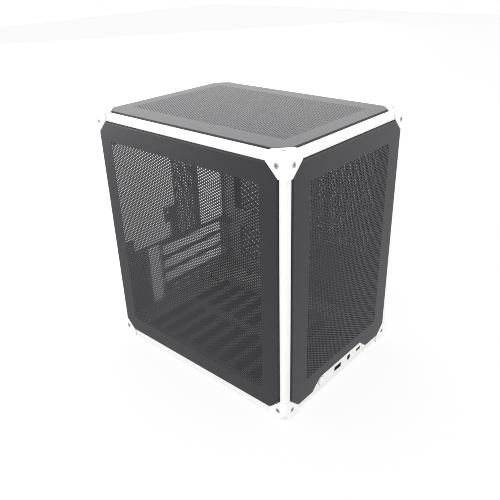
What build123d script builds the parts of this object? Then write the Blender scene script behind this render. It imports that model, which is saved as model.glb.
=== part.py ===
from build123d import *
from math import cos, radians, sin
import os

os.makedirs("parts", exist_ok=True)

# The case stands on its four lower corner brackets. The origin is the middle of its
# footprint, +Z is up, the front with the ports faces -Y, and the board hangs on the +X side.

# The micro ATX board that the case is built round, and the room left about it
board_side = 243.84
board_front_room = 22.66
board_behind_wall = 1.3
board_foot = 10.96
board_headroom = 36.2
ledge_depth = 3.2

# Depth and height over the brackets and the panels that lie flush with them. The width follows
# below from what stands side by side in the rear wall.
case_depth = board_side + board_front_room + board_behind_wall + ledge_depth
case_height = board_side + board_foot + board_headroom

# Frame: square tube profiles with two ledges, set back behind the brackets and panels
set_back = 1.7
reveal = 9.7
panel_gap = 0.5
tube_wall = 1.5
tube_edge_radius = 0.8
ledge_wall = 1.5
ledge_reach = 18.0
ledge_end_gap = 0.3
ledge_hole_inset = 14.0

# Corner brackets: die-cast caps with a ball-rounded outer corner over an inner block
corner_cut = 13.2
ball_centre = 23.3
ball_radius = 35.0
block_reach = 15.0
block_gap = 0.2
spigot_length = 12.0
spigot_gap = 0.1

# M3 countersunk socket screws in the brackets
bracket_screw_inset = 11.0
screw_radius = 1.5
screw_head_radius = 2.8
screw_sink = 0.1
bracket_screw_length = 8.0
socket_flats = 2.0
socket_depth = 1.0
hole_gap = 0.1

# M3 pan-head screws for the sheet-metal pieces
pan_head_radius = 2.7
pan_head_height = 1.8
pan_screw_length = 5.0

# Sheet steel, thicker in the fixed plates than in the removable panels
sheet = 1.2
panel_sheet = 0.8
flange_depth = 2.4
fold_radius = 0.8

# Margins round the perforated fields, which here hold a coarse lattice of hexagons
side_margin = (30.5, 29.5)
top_margin = (32.5, 28.5)
front_margin = (34.0, 34.0)
front_field_lift = 3.0
lattice_pitch = 30.0
lattice_hole = 20.0

# Snap studs that hold the removable panels
stud_base_radius = 2.9
stud_base_height = 0.8
stud_neck_radius = 1.2
stud_ball_radius = 1.8
stud_ball_depth = 6.4
clip_flange_radius = 3.8
clip_flange_height = 0.6
clip_body_radius = 3.0
clip_bore_radius = 2.1
clip_length = 6.0
side_stud_from_end = 45.0
front_stud_from_end = 60.0
top_stud_from_end = 70.0

# Rear wall and floor plate, set against the ledges
plate_edge_gap = 0.5
rear_screw_from_end = 50.0
floor_screw_from_end = 60.0
tray_screw_from_end = 60.0

# Motherboard side: a microATX board stands on a flat tray beside the right panel
tray_depth = 9.4
tray_front_gap = 9.6
tray_rear_gap = 5.2
tray_from_bottom = 20.0
tray_from_top = 20.0
window_from_middle_column = 14.6
window_from_rear_column = (18.8, 9.8)
window_below_row = 4.7
window_above_row = 21.5
window_under_top_row = 8.5
window_rib = 14.0
cable_window_from_columns = (3.5, 4.6)
cable_window_above_row = 16.5
window_radius = 4.0
spacer_radius = 3.2
tray_screw_length = 8.0
standoff_height = 6.5
standoff_flats = 5.0
standoff_bore = 1.3
board_columns = (10.16, board_side - 76.2, board_side - 6.35)
board_rows = (6.35, board_side - 82.55, board_side - 34.29)

# Rear openings
io_aperture = (44.45, 158.75)
io_aperture_from_tray = 4.0
io_aperture_bottom = 99.4
slot_count = 4
slot_pitch = 20.32
slot_top_centre = 86.1
slot_height = 14.3
slot_length = 110.0
slot_from_tray = 10.4
slot_screw_inset = 2.5
slot_screw_hole = 1.6
slot_bar = 5.2
window_width = 18.8
window_bottom = 18.6
window_top = 99.4
earth_hole_inset = 5.2
earth_hole_height = 57.3
earth_hole_radius = 2.0

# Power supply opening: an ATX unit stands on end, seen from the rear
psu_width = 86.0
psu_length = 150.0
psu_from_side = 9.4
psu_bottom = 108.3
psu_hole_radius = 2.0
psu_holes = ((80.0, 30.0), (6.0, 6.0), (16.0, 144.0), (80.0, 144.0))
psu_opening_from = (3.6, 83.4, 94.2)
psu_opening_bottom = 103.5
psu_opening_top = 247.0
psu_tab_from = 74.6
psu_tab_bottom = 124.5
psu_tab_top = 146.0
psu_corner_tab = 17.0

# Vent strip between the power supply and the ports
vent_room = 43.35
vent_hole = 9.0
vent_pitch = 12.0
vent_rows = 12
vent_bottom = 108.0
vent_place = 0.4

# Vented cover over the lowest expansion slot
cover_wall = 1.0
cover_bottom = 18.2
cover_top = 34.2
cover_from_tray = 2.4
cover_screw_inset = 3.5
cover_slit = (14.0, 3.0)
cover_slit_pitch = 20.0
cover_slit_count = 5
cover_slit_rows = 8.6

# Floor plate slots
floor_slot = (67.0, 15.5)
floor_slot_pitch = 24.4
floor_slot_margin = 13.0
floor_slot_radius = 3.0
floor_rib = 11.0

# Port upstand on the front lower rail, and the small board behind it
upstand_wall = 2.0
upstand_bottom_half = 55.0
upstand_top_half = 41.2
upstand_top = 21.2
notch_gap = 0.5
ledge_cut_half = 58.0
lug_width = 6.0
lug_length = 6.3
lug_x = 48.5
port_height = 12.9
port_gap = 0.25
port_recess = 0.3
usb_a_x = -4.4
usb_a_shell = (13.1, 5.7, 14.0)
usb_a_wall = 0.4
usb_a_tongue = (11.1, 1.8, 8.5)
usb_a_tongue_drop = 0.7
audio_x = 18.6
audio_body = (7.0, 12.0)
audio_collar_radius = 3.4
audio_bore_radius = 1.8
audio_bore_depth = 10.0
usb_c_x = 39.6
usb_c_shell = (9.0, 3.2, 9.0)
usb_c_wall = 0.35
usb_c_tongue = (6.7, 0.7, 5.0)
port_board_wall = 1.6
port_board_half = 52.0
port_board_front = 4.0
port_board_rear = 24.0
port_board_notch = (13.5, 7.8)
port_screw_depth = 6.5
port_screw_radius = 1.25
port_screw_head = (2.2, 1.5)
port_screw_length = 6.0

# Power button and its switch
button_x = -37.8
button_height = 14.5
button_radius = 4.9
button_bore_radius = 5.4
button_front = 0.2
button_flange_radius = 5.9
button_flange_wall = 0.8
button_flange_gap = 0.1
button_flange_low = 9.4
button_stem_radius = 2.0
button_stem_end = 6.2
button_edge_radius = 0.4
switch_body = (6.0, 5.0, 3.5)
switch_front = 8.0
switch_plunger_radius = 1.2
switch_plunger = 0.5

# Values that follow from the sizes above
case_width = (
    psu_from_side + psu_opening_from[2] + vent_room
    + io_aperture[0] + io_aperture_from_tray + sheet + tray_depth
)
tube_edge = reveal - panel_gap
tube_bore = tube_edge - set_back - 2 * tube_wall
cap_reach = reveal + corner_cut
ledge_start = ledge_reach + ledge_end_gap
plate_face = ledge_depth - sheet
tray_x = case_width / 2 - tray_depth - sheet
board_rear = case_depth / 2 - ledge_depth - board_behind_wall
board_top = board_foot + board_side
side_field = (case_depth - 2 * side_margin[0], case_height - 2 * side_margin[1])
top_field = (case_width - 2 * top_margin[0], case_depth - 2 * top_margin[1])
front_field = (case_width - 2 * front_margin[0], case_height - 2 * front_margin[1])
slot_right = tray_x - slot_from_tray
slot_left = slot_right - slot_length
slot_screw_x = slot_left - slot_screw_inset
window_right = slot_left - slot_bar
window_left = window_right - window_width
cover_right = tray_x - cover_from_tray
cover_screw_x = cover_right - cover_screw_inset
psu_left = psu_from_side - case_width / 2
psu_opening_left, psu_side_step, psu_opening_right = (psu_left + x for x in psu_opening_from)
psu_tab_left = psu_left + psu_tab_from
io_right = tray_x - io_aperture_from_tray
port_board_z = port_height + usb_a_shell[1] / 2
SIGNS = (-1, 1)
AXES = (Vector(1, 0, 0), Vector(0, 1, 0), Vector(0, 0, 1))


def corner_point(signs):
    """Outer corner of the case on the sides given by three signs."""
    return Vector(
        signs[0] * case_width / 2,
        signs[1] * case_depth / 2,
        case_height if signs[2] > 0 else 0,
    )


def edge_frame(along, side_a, side_b):
    """Plane at one end of a frame edge: x and y run inwards, the normal runs along it."""
    first, second = [k for k in range(3) if k != along]
    inward_a = AXES[first] * -side_a
    inward_b = AXES[second] * -side_b
    normal = inward_a.cross(inward_b)
    signs = [0, 0, 0]
    signs[first], signs[second] = side_a, side_b
    signs[along] = -1 if normal.dot(AXES[along]) > 0 else 1
    return Plane(origin=corner_point(signs), x_dir=inward_a, z_dir=normal)


def corner_frame(signs):
    """Plane at an outer corner of the case whose three axes run inwards along its edges."""
    inward = [AXES[k] * -signs[k] for k in range(3)]
    if inward[0].cross(inward[1]).dot(inward[2]) > 0:
        return Plane(origin=corner_point(signs), x_dir=inward[0], z_dir=inward[2])
    return Plane(origin=corner_point(signs), x_dir=inward[1], z_dir=inward[2])


def ledge_station(along, side_a, side_b, face, place):
    """Plane on the case's outer surface over a hole in one ledge, facing inwards.

    face is the axis that the ledge faces, and place the coordinate along the edge.
    """
    first, second = [k for k in range(3) if k != along]
    side = {first: side_a, second: side_b}
    across = second if face == first else first
    point = [0, 0, 0]
    half = (case_width / 2, case_depth / 2, case_height / 2)
    point[face] = side[face] * half[face]
    point[across] = side[across] * (half[across] - ledge_hole_inset)
    point[along] = place
    if along != 2:
        point[2] += case_height / 2
    return Plane(origin=Vector(*point), z_dir=AXES[face] * -side[face])


def write(part, name):
    """Label a finished piece and write it to its own file."""
    part.label = name
    export_step(part, f"parts/{name}.step")


def lattice(field, pitch, hole, lift=0.0):
    """Centres of a staggered lattice that fills a field, columns upright."""
    step = pitch * cos(radians(30))
    columns = int((field[0] - hole) / step) + 1
    rows = int((field[1] - hole - pitch / 2) / pitch) + 1
    centres = []
    for i in range(columns):
        shift = pitch / 4 if i % 2 else -pitch / 4
        for j in range(rows):
            x = (i - (columns - 1) / 2) * step
            y = (j - (rows - 1) / 2) * pitch + shift + lift
            centres.append((x, y))
    return centres


# Planes of the six faces of the case, each facing inwards with y up or to the rear
middle = case_height / 2
left_face = Plane(origin=(-case_width / 2, 0, middle), x_dir=(0, 1, 0), z_dir=(1, 0, 0))
right_face = Plane(origin=(case_width / 2, 0, middle), x_dir=(0, -1, 0), z_dir=(-1, 0, 0))
front_face = Plane(origin=(0, -case_depth / 2, middle), x_dir=(-1, 0, 0), z_dir=(0, 1, 0))
rear_face = Plane(origin=(0, case_depth / 2, middle), x_dir=(1, 0, 0), z_dir=(0, -1, 0))
top_face = Plane(origin=(0, 0, case_height), x_dir=(-1, 0, 0), z_dir=(0, 0, -1))
floor_face = Plane(origin=(0, 0, 0), x_dir=(1, 0, 0), z_dir=(0, 0, 1))

# Where clips and screws sit on the ledges of each frame edge
edges = {}
for side_x, name_x in ((-1, "left"), (1, "right")):
    for side_y, name_y in ((-1, "front"), (1, "rear")):
        edges[f"post_{name_y}_{name_x}"] = (2, side_x, side_y)
for side_y, name_y in ((-1, "front"), (1, "rear")):
    for side_z, name_z in ((-1, "bottom"), (1, "top")):
        edges[f"rail_{name_y}_{name_z}"] = (0, side_y, side_z)
for side_x, name_x in ((-1, "left"), (1, "right")):
    for side_z, name_z in ((-1, "bottom"), (1, "top")):
        edges[f"rail_{name_x}_{name_z}"] = (1, side_x, side_z)

clip_places = {name: [] for name in edges}
screw_places = {name: [] for name in edges}
side_stud_y = case_depth / 2 - side_stud_from_end
top_stud_y = case_depth / 2 - top_stud_from_end
floor_screw_y = case_depth / 2 - floor_screw_from_end
studs = {"left": [], "right": [], "front": [], "top": []}
rear_screw_places, floor_screw_places, tray_screw_places = [], [], []

for name_x, side_x in (("left", -1), ("right", 1)):
    for name_z, side_z in (("bottom", -1), ("top", 1)):
        rail = f"rail_{name_x}_{name_z}"
        for place in (-side_stud_y, side_stud_y):
            station = ledge_station(1, side_x, side_z, 0, place)
            clip_places[rail].append(station)
            studs[name_x].append(station)
    for place in (-top_stud_y, top_stud_y):
        station = ledge_station(1, side_x, 1, 2, place)
        clip_places[f"rail_{name_x}_top"].append(station)
        studs["top"].append(station)
    for place in (-floor_screw_y, 0, floor_screw_y):
        station = ledge_station(1, side_x, -1, 2, place)
        screw_places[f"rail_{name_x}_bottom"].append(station)
        floor_screw_places.append(station)
    for place in (front_stud_from_end, case_height - front_stud_from_end):
        station = ledge_station(2, side_x, -1, 1, place)
        clip_places[f"post_front_{name_x}"].append(station)
        studs["front"].append(station)
    station = ledge_station(2, side_x, 1, 1, rear_screw_from_end)
    screw_places[f"post_rear_{name_x}"].append(station)
    rear_screw_places.append(station)
for name_z, side_z in (("bottom", -1), ("top", 1)):
    for place in (rear_screw_from_end - case_width / 2, case_width / 2 - rear_screw_from_end):
        station = ledge_station(0, 1, side_z, 1, place)
        screw_places[f"rail_rear_{name_z}"].append(station)
        rear_screw_places.append(station)
for name_y, side_y in (("front", -1), ("rear", 1)):
    for place in (tray_screw_from_end, case_height - tray_screw_from_end):
        station = ledge_station(2, 1, side_y, 0, place)
        screw_places[f"post_{name_y}_right"].append(station)
        tray_screw_places.append(station)

# Frame profiles: aluminium extrusions, a square tube with a ledge along each inner side.
# The rear posts lose their rear ledge beside the power supply and the ports, and the front
# lower rail carries the port upstand in place of its front ledge.
lengths = (case_width, case_depth, case_height)
ledge_size = ledge_reach - tube_edge
rear_notch_low = window_top - ledge_reach / 2
rear_notch_high = psu_bottom + psu_length + ledge_reach / 2
rear_notches = {
    "post_rear_left": ((rear_notch_low, rear_notch_high),),
    "post_rear_right": ((ledge_start, cover_top + 4), (rear_notch_low, rear_notch_high)),
}
port_face = front_face.offset(set_back)
to_local_z = -middle

for name, (along, side_a, side_b) in edges.items():
    frame = edge_frame(along, side_a, side_b)
    tube_size = tube_edge - set_back
    with BuildPart() as profile:
        with BuildSketch(frame.offset(block_reach)):
            with Locations((set_back, set_back)):
                Rectangle(tube_size, tube_size, align=Align.MIN)
            fillet(vertices().group_by(SortBy.DISTANCE)[0], tube_edge_radius)
            with Locations((set_back + tube_wall, set_back + tube_wall)):
                Rectangle(tube_bore, tube_bore, align=Align.MIN, mode=Mode.SUBTRACT)
        extrude(amount=lengths[along] - 2 * block_reach)
        with BuildSketch(frame.offset(ledge_start)):
            with Locations((ledge_depth, tube_edge)):
                Rectangle(ledge_wall, ledge_size, align=Align.MIN)
            with Locations((tube_edge, ledge_depth)):
                Rectangle(ledge_size, ledge_wall, align=Align.MIN)
        extrude(amount=lengths[along] - 2 * ledge_start)
        for station in clip_places[name]:
            with BuildSketch(station.offset(ledge_depth)):
                Circle(clip_body_radius + hole_gap)
            extrude(amount=ledge_wall, mode=Mode.SUBTRACT)
        for station in screw_places[name]:
            with BuildSketch(station.offset(ledge_depth)):
                Circle(screw_radius + hole_gap)
            extrude(amount=ledge_wall, mode=Mode.SUBTRACT)
        for low, high in rear_notches.get(name, ()):
            with BuildSketch(Plane.XY.offset(low)):
                ledge_x = side_a * (case_width / 2 - (tube_edge + ledge_reach) / 2)
                ledge_y = case_depth / 2 - ledge_depth - ledge_wall / 2
                with Locations((ledge_x, ledge_y)):
                    Rectangle(ledge_size, ledge_wall)
            extrude(amount=high - low, mode=Mode.SUBTRACT)
        if name == "rail_front_bottom":
            with BuildSketch(front_face.offset(ledge_depth)):
                with Locations((0, to_local_z + tube_edge)):
                    Rectangle(2 * ledge_cut_half, ledge_size, align=(Align.CENTER, Align.MIN))
            extrude(amount=ledge_wall, mode=Mode.SUBTRACT)
            with BuildSketch(port_face):
                Polygon(
                    (-upstand_bottom_half, to_local_z + tube_edge),
                    (upstand_bottom_half, to_local_z + tube_edge),
                    (upstand_top_half, to_local_z + upstand_top),
                    (-upstand_top_half, to_local_z + upstand_top),
                    align=None,
                )
            extrude(amount=upstand_wall)
            with BuildSketch(port_face.offset(upstand_wall)):
                for x in (-lug_x, lug_x):
                    with Locations((x, to_local_z + tube_edge)):
                        Rectangle(
                            lug_width, port_board_z - tube_edge, align=(Align.CENTER, Align.MIN)
                        )
            extrude(amount=lug_length)
            with BuildSketch(port_face):
                with Locations((-button_x, to_local_z + button_height)):
                    Circle(button_bore_radius)
                with Locations((-usb_a_x, to_local_z + port_height)):
                    Rectangle(usb_a_shell[0] + 2 * port_gap, usb_a_shell[1] + 2 * port_gap)
                with Locations((-audio_x, to_local_z + port_height)):
                    Circle(audio_collar_radius + port_gap)
                with Locations((-usb_c_x, to_local_z + port_height)):
                    SlotOverall(usb_c_shell[0] + 2 * port_gap, usb_c_shell[1] + 2 * port_gap)
            extrude(amount=upstand_wall, mode=Mode.SUBTRACT)
            with BuildSketch(Plane.XY.offset(port_board_z)):
                for x in (-lug_x, lug_x):
                    with Locations((x, port_screw_depth - case_depth / 2)):
                        Circle(port_screw_radius + hole_gap)
            extrude(amount=-port_screw_length, mode=Mode.SUBTRACT)
    write(profile.part, name)


def cap_outline():
    """Outline of a bracket on one face of the case: two arms with a web between them."""
    Polygon(
        (0, 0),
        (cap_reach, 0),
        (cap_reach, tube_edge),
        (tube_edge, cap_reach),
        (0, cap_reach),
        align=None,
    )


# Hollow of a corner bracket, with the same ball rounding as its outside
with BuildPart() as cap_hollow:
    with Locations((set_back, set_back, set_back)):
        Box(cap_reach, cap_reach, cap_reach, align=Align.MIN)
    with Locations((ball_centre, ball_centre, ball_centre)):
        Sphere(ball_radius - set_back, mode=Mode.INTERSECT)

# Corner bracket in its own frame, its outer corner at the origin and its arms along +X +Y +Z
with BuildPart() as cap:
    with BuildSketch(Plane.XY):
        cap_outline()
    extrude(amount=cap_reach)
    with BuildSketch(Plane.YZ):
        cap_outline()
    extrude(amount=cap_reach, mode=Mode.INTERSECT)
    with BuildSketch(Plane.XZ):
        cap_outline()
    extrude(amount=-cap_reach, mode=Mode.INTERSECT)
    with Locations((ball_centre, ball_centre, ball_centre)):
        Sphere(ball_radius, mode=Mode.INTERSECT)
    add(cap_hollow.part, mode=Mode.SUBTRACT)
    for plane in (Plane.XY, Plane.YZ, Plane.ZX):
        with BuildSketch(plane):
            with Locations((bracket_screw_inset, bracket_screw_inset)):
                Circle(screw_radius + hole_gap)
        extrude(amount=set_back, mode=Mode.SUBTRACT)
        with BuildSketch(plane):
            with Locations((bracket_screw_inset, bracket_screw_inset)):
                Circle(screw_head_radius + hole_gap)
        extrude(amount=screw_head_radius - screw_radius, taper=45, mode=Mode.SUBTRACT)

# Inner block of a corner: a cast cube with a spigot into each profile and three tapped holes
with BuildPart() as block:
    block_size = block_reach - set_back
    with Locations((set_back, set_back, set_back)):
        Box(block_size, block_size, block_size, align=Align.MIN)
    with Locations((ball_centre, ball_centre, ball_centre)):
        Sphere(ball_radius - set_back - block_gap, mode=Mode.INTERSECT)
    spigot_low = set_back + tube_wall + spigot_gap
    spigot_size = tube_bore - 2 * spigot_gap
    for plane in (Plane.XY, Plane.YZ, Plane.ZX):
        with BuildSketch(plane.offset(block_reach)):
            with Locations((spigot_low, spigot_low)):
                Rectangle(spigot_size, spigot_size, align=Align.MIN)
        extrude(amount=spigot_length)
    for plane in (Plane.XY, Plane.YZ, Plane.ZX):
        with BuildSketch(plane.offset(set_back)):
            with Locations((bracket_screw_inset, bracket_screw_inset)):
                Circle(screw_radius + hole_gap / 2)
        extrude(amount=bracket_screw_length, mode=Mode.SUBTRACT)

# Countersunk socket screws of one corner
with BuildPart() as corner_screws:
    for plane in (Plane.XY, Plane.YZ, Plane.ZX):
        with BuildSketch(plane.offset(screw_sink)):
            with Locations((bracket_screw_inset, bracket_screw_inset)):
                Circle(screw_head_radius - screw_sink)
        extrude(amount=screw_head_radius - screw_sink - screw_radius, taper=45)
        with BuildSketch(plane.offset(screw_sink)):
            with Locations((bracket_screw_inset, bracket_screw_inset)):
                Circle(screw_radius)
        extrude(amount=bracket_screw_length - screw_sink)
        with BuildSketch(plane.offset(screw_sink)):
            with Locations((bracket_screw_inset, bracket_screw_inset)):
                RegularPolygon(socket_flats / 2, 6, major_radius=False)
        extrude(amount=socket_depth, mode=Mode.SUBTRACT)

# The eight corners of the case
corners = [(x, y, z) for x in SIGNS for y in SIGNS for z in SIGNS]
word = ({-1: "left", 1: "right"}, {-1: "front", 1: "rear"}, {-1: "bottom", 1: "top"})
for signs in corners:
    with BuildPart() as bracket:
        with Locations(corner_frame(signs).location):
            add(cap.part)
    write(bracket.part, f"bracket_{word[1][signs[1]]}_{word[0][signs[0]]}_{word[2][signs[2]]}")

with BuildPart() as corner_blocks:
    with Locations(*[corner_frame(signs).location for signs in corners]):
        add(block.part)
write(corner_blocks.part, "corner_blocks")

with BuildPart() as bracket_screws:
    with Locations(*[corner_frame(signs).location for signs in corners]):
        add(corner_screws.part)
write(bracket_screws.part, "bracket_screws")


def panel_outline(width, height, notched=False):
    """Outline of a panel with its corners cut for the brackets, and the port notch if asked."""
    Rectangle(width, height)
    chamfer(vertices(), corner_cut)
    if notched:
        Polygon(
            (-upstand_bottom_half - notch_gap, to_local_z + reveal),
            (upstand_bottom_half + notch_gap, to_local_z + reveal),
            (upstand_top_half + notch_gap, to_local_z + upstand_top + notch_gap),
            (-upstand_top_half - notch_gap, to_local_z + upstand_top + notch_gap),
            align=None,
            mode=Mode.SUBTRACT,
        )


# Removable panels: perforated steel trays with a shallow folded edge, flush with the brackets
panels = (
    ("left_panel", left_face, case_depth, case_height, side_field, 0.0, False),
    ("right_panel", right_face, case_depth, case_height, side_field, 0.0, False),
    ("front_panel", front_face, case_width, case_height, front_field, front_field_lift, True),
    ("top_panel", top_face, case_width, case_depth, top_field, 0.0, False),
)
for name, face, width, height, field, lift, notched in panels:
    with BuildPart() as panel:
        with BuildSketch(face):
            panel_outline(width - 2 * reveal, height - 2 * reveal, notched)
        extrude(amount=flange_depth)
        outer_face = faces().sort_by(Axis(face.origin, face.z_dir))[0]
        fillet(outer_face.outer_wire().edges(), fold_radius)
        with BuildSketch(face.offset(panel_sheet)):
            panel_outline(width - 2 * reveal, height - 2 * reveal, notched)
            offset(amount=-panel_sheet, kind=Kind.INTERSECTION)
        extrude(amount=flange_depth - panel_sheet, mode=Mode.SUBTRACT)
        with BuildSketch(face):
            with Locations(*lattice(field, lattice_pitch, lattice_hole, lift)):
                RegularPolygon(lattice_hole / 2, 6, major_radius=False)
        extrude(amount=panel_sheet, mode=Mode.SUBTRACT)
    write(panel.part, name)

# Snap studs, riveted to the inside of each removable panel
for side, stations in studs.items():
    with BuildPart() as panel_studs:
        for station in stations:
            with BuildSketch(station.offset(panel_sheet)):
                Circle(stud_base_radius)
            extrude(amount=stud_base_height)
            with BuildSketch(station.offset(panel_sheet)):
                Circle(stud_neck_radius)
            extrude(amount=stud_ball_depth - panel_sheet)
            with Locations(station.offset(stud_ball_depth).location):
                Sphere(stud_ball_radius)
    write(panel_studs.part, f"{side}_panel_studs")

# Plastic snap clips, pressed into the ledges
with BuildPart() as snap_clips:
    for stations in clip_places.values():
        for station in stations:
            with BuildSketch(station.offset(ledge_depth - clip_flange_height)):
                Circle(clip_flange_radius)
            extrude(amount=clip_flange_height)
            with BuildSketch(station.offset(ledge_depth)):
                Circle(clip_body_radius)
            extrude(amount=clip_length)
            with BuildSketch(station.offset(ledge_depth - clip_flange_height)):
                Circle(clip_bore_radius)
            extrude(amount=clip_flange_height + clip_length, mode=Mode.SUBTRACT)
write(snap_clips.part, "snap_clips")

# Rear wall: flat steel plate on the rear ledges, with the power supply opening, the port
# aperture, the expansion slots, the screw window beside them and a strip of vents
slot_centres = [slot_top_centre - k * slot_pitch for k in range(slot_count)]
vent_step = vent_pitch * cos(radians(30))
vent_columns = max(1, int(vent_room / vent_step) - 1)
vent_centre = psu_opening_right + vent_place * vent_room
with BuildPart() as rear_wall:
    with BuildSketch(rear_face.offset(plate_face)):
        panel_outline(case_width - 2 * reveal, case_height - 2 * reveal)
    extrude(amount=sheet)
    with BuildSketch(rear_face.offset(plate_face)):
        with Locations((io_right, to_local_z + io_aperture_bottom)):
            Rectangle(*io_aperture, align=(Align.MAX, Align.MIN))
        for z in slot_centres:
            with Locations((slot_left, to_local_z + z)):
                Rectangle(
                    slot_right - slot_left, slot_height, align=(Align.MIN, Align.CENTER)
                )
            with Locations((slot_screw_x, to_local_z + z)):
                Circle(slot_screw_hole)
        with Locations((window_left, to_local_z + window_bottom)):
            Rectangle(
                window_right - window_left, window_top - window_bottom, align=Align.MIN
            )
        with Locations((window_left - earth_hole_inset, to_local_z + earth_hole_height)):
            Circle(earth_hole_radius)
        low = to_local_z + psu_opening_bottom
        tab_low, tab_high = to_local_z + psu_tab_bottom, to_local_z + psu_tab_top
        Polygon(
            (psu_opening_left + psu_corner_tab, low),
            (psu_side_step, low),
            (psu_side_step, tab_low),
            (psu_tab_left, tab_low),
            (psu_tab_left, tab_high),
            (psu_opening_right, tab_high),
            (psu_opening_right, to_local_z + psu_opening_top),
            (psu_opening_left, to_local_z + psu_opening_top),
            (psu_opening_left, low + psu_corner_tab),
            (psu_opening_left + psu_corner_tab, low + psu_corner_tab),
            align=None,
        )
        for across, up in psu_holes:
            with Locations((psu_left + across, to_local_z + psu_bottom + up)):
                Circle(psu_hole_radius)
        for i in range(vent_columns):
            for j in range(vent_rows - i % 2):
                x = vent_centre + (i - (vent_columns - 1) / 2) * vent_step
                z = vent_bottom + (j + 0.5 * (i % 2)) * vent_pitch
                with Locations((x, to_local_z + z)):
                    RegularPolygon(vent_hole / 2, 6, major_radius=False)
        with Locations((cover_screw_x, to_local_z + slot_centres[-1])):
            Circle(slot_screw_hole)
    extrude(amount=sheet, mode=Mode.SUBTRACT)
    for station in rear_screw_places:
        with BuildSketch(station.offset(plate_face)):
            Circle(screw_radius + hole_gap)
        extrude(amount=sheet, mode=Mode.SUBTRACT)
write(rear_wall.part, "rear_wall")


def pan_screw(length):
    """Pan-head screw along +Z whose head is seated on the XY plane."""
    with BuildPart() as screw:
        Cylinder(screw_radius, length, align=(Align.CENTER, Align.CENTER, Align.MIN))
        Cylinder(
            pan_head_radius,
            pan_head_height,
            align=(Align.CENTER, Align.CENTER, Align.MAX),
        )
    return screw.part


plate_screw = pan_screw(pan_screw_length)
tray_screw = pan_screw(tray_screw_length)

with BuildPart() as rear_screws:
    with Locations(*[station.offset(plate_face).location for station in rear_screw_places]):
        add(plate_screw)
write(rear_screws.part, "rear_screws")

# Vented cover inside the lowest slot, held by two screws
with BuildPart() as slot_cover:
    with BuildSketch(rear_face.offset(ledge_depth)):
        with Locations((window_right, to_local_z + cover_bottom)):
            Rectangle(cover_right - window_right, cover_top - cover_bottom, align=Align.MIN)
        with Locations(((slot_left + slot_right) / 2, to_local_z + slot_centres[-1])):
            with GridLocations(cover_slit_pitch, cover_slit_rows, cover_slit_count, 2):
                Rectangle(*cover_slit, mode=Mode.SUBTRACT)
        for x in (slot_screw_x, cover_screw_x):
            with Locations((x, to_local_z + slot_centres[-1])):
                Circle(slot_screw_hole, mode=Mode.SUBTRACT)
    extrude(amount=cover_wall)
write(slot_cover.part, "slot_cover")

cover_screw_places = [
    Plane(origin=(x, case_depth / 2 - plate_face, slot_centres[-1]), z_dir=(0, -1, 0))
    for x in (slot_screw_x, cover_screw_x)
]
with BuildPart() as slot_screws:
    with Locations(*[place.location for place in cover_screw_places]):
        add(plate_screw)
write(slot_screws.part, "slot_cover_screws")

# Floor plate: flat steel under the lower ledges with two columns of slots
floor_slot_x = (floor_rib + floor_slot[0]) / 2
floor_slot_rows = int((case_depth - 2 * floor_slot_margin) / floor_slot_pitch)
with BuildPart() as floor_plate:
    with BuildSketch(floor_face.offset(plate_face)):
        panel_outline(case_width - 2 * reveal, case_depth - 2 * reveal)
        with GridLocations(2 * floor_slot_x, floor_slot_pitch, 2, floor_slot_rows):
            RectangleRounded(*floor_slot, floor_slot_radius, mode=Mode.SUBTRACT)
    extrude(amount=sheet)
    for station in floor_screw_places:
        with BuildSketch(station.offset(plate_face)):
            Circle(screw_radius + hole_gap)
        extrude(amount=sheet, mode=Mode.SUBTRACT)
write(floor_plate.part, "floor_plate")

with BuildPart() as floor_screws:
    with Locations(*[station.offset(plate_face).location for station in floor_screw_places]):
        add(plate_screw)
write(floor_screws.part, "floor_screws")

# Where the board stands: nine threaded standoffs on the tray
column_y = [board_rear - y for y in board_columns]
row_z = [board_top - z for z in board_rows]
standoff_places = [(y, z) for y in column_y for z in row_z]

# Motherboard tray: a flat plate on spacers beside the right-hand posts
tray_plane = Plane(origin=(tray_x, 0, 0), x_dir=(0, 1, 0), z_dir=(1, 0, 0))
tray_front = tray_front_gap - case_depth / 2
tray_rear = case_depth / 2 - tray_rear_gap
window_front = column_y[1] + window_from_middle_column
low_rear, high_rear = (column_y[0] - gap for gap in window_from_rear_column)
high_bottom, high_top = row_z[1] + window_above_row, row_z[0] - window_under_top_row
rib_bottom = (high_bottom + high_top - window_rib) / 2
cable_front = column_y[2] - cable_window_from_columns[0]
cable_rear = column_y[1] + cable_window_from_columns[1]
tray_windows = (
    (window_front, low_rear, row_z[2] - window_below_row, row_z[1]),
    (window_front, high_rear, high_bottom, rib_bottom),
    (window_front, high_rear, rib_bottom + window_rib, high_top),
    (cable_front, cable_rear, row_z[1] + cable_window_above_row, high_top),
)
with BuildPart() as tray:
    with BuildSketch(tray_plane):
        with Locations((tray_front, tray_from_bottom)):
            Rectangle(
                tray_rear - tray_front,
                case_height - tray_from_bottom - tray_from_top,
                align=Align.MIN,
            )
        for front, rear, low, high in tray_windows:
            with Locations(((front + rear) / 2, (low + high) / 2)):
                RectangleRounded(rear - front, high - low, window_radius, mode=Mode.SUBTRACT)
        with Locations(*standoff_places):
            Circle(standoff_bore, mode=Mode.SUBTRACT)
    extrude(amount=sheet)
    for station in tray_screw_places:
        with BuildSketch(station.offset(tray_depth)):
            Circle(screw_radius + hole_gap)
        extrude(amount=sheet, mode=Mode.SUBTRACT)
write(tray.part, "motherboard_tray")

with BuildPart() as spacers:
    for station in tray_screw_places:
        with BuildSketch(station.offset(ledge_depth + ledge_wall)):
            Circle(spacer_radius)
            Circle(screw_radius + hole_gap, mode=Mode.SUBTRACT)
        extrude(amount=tray_depth - ledge_depth - ledge_wall)
write(spacers.part, "tray_spacers")

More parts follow.
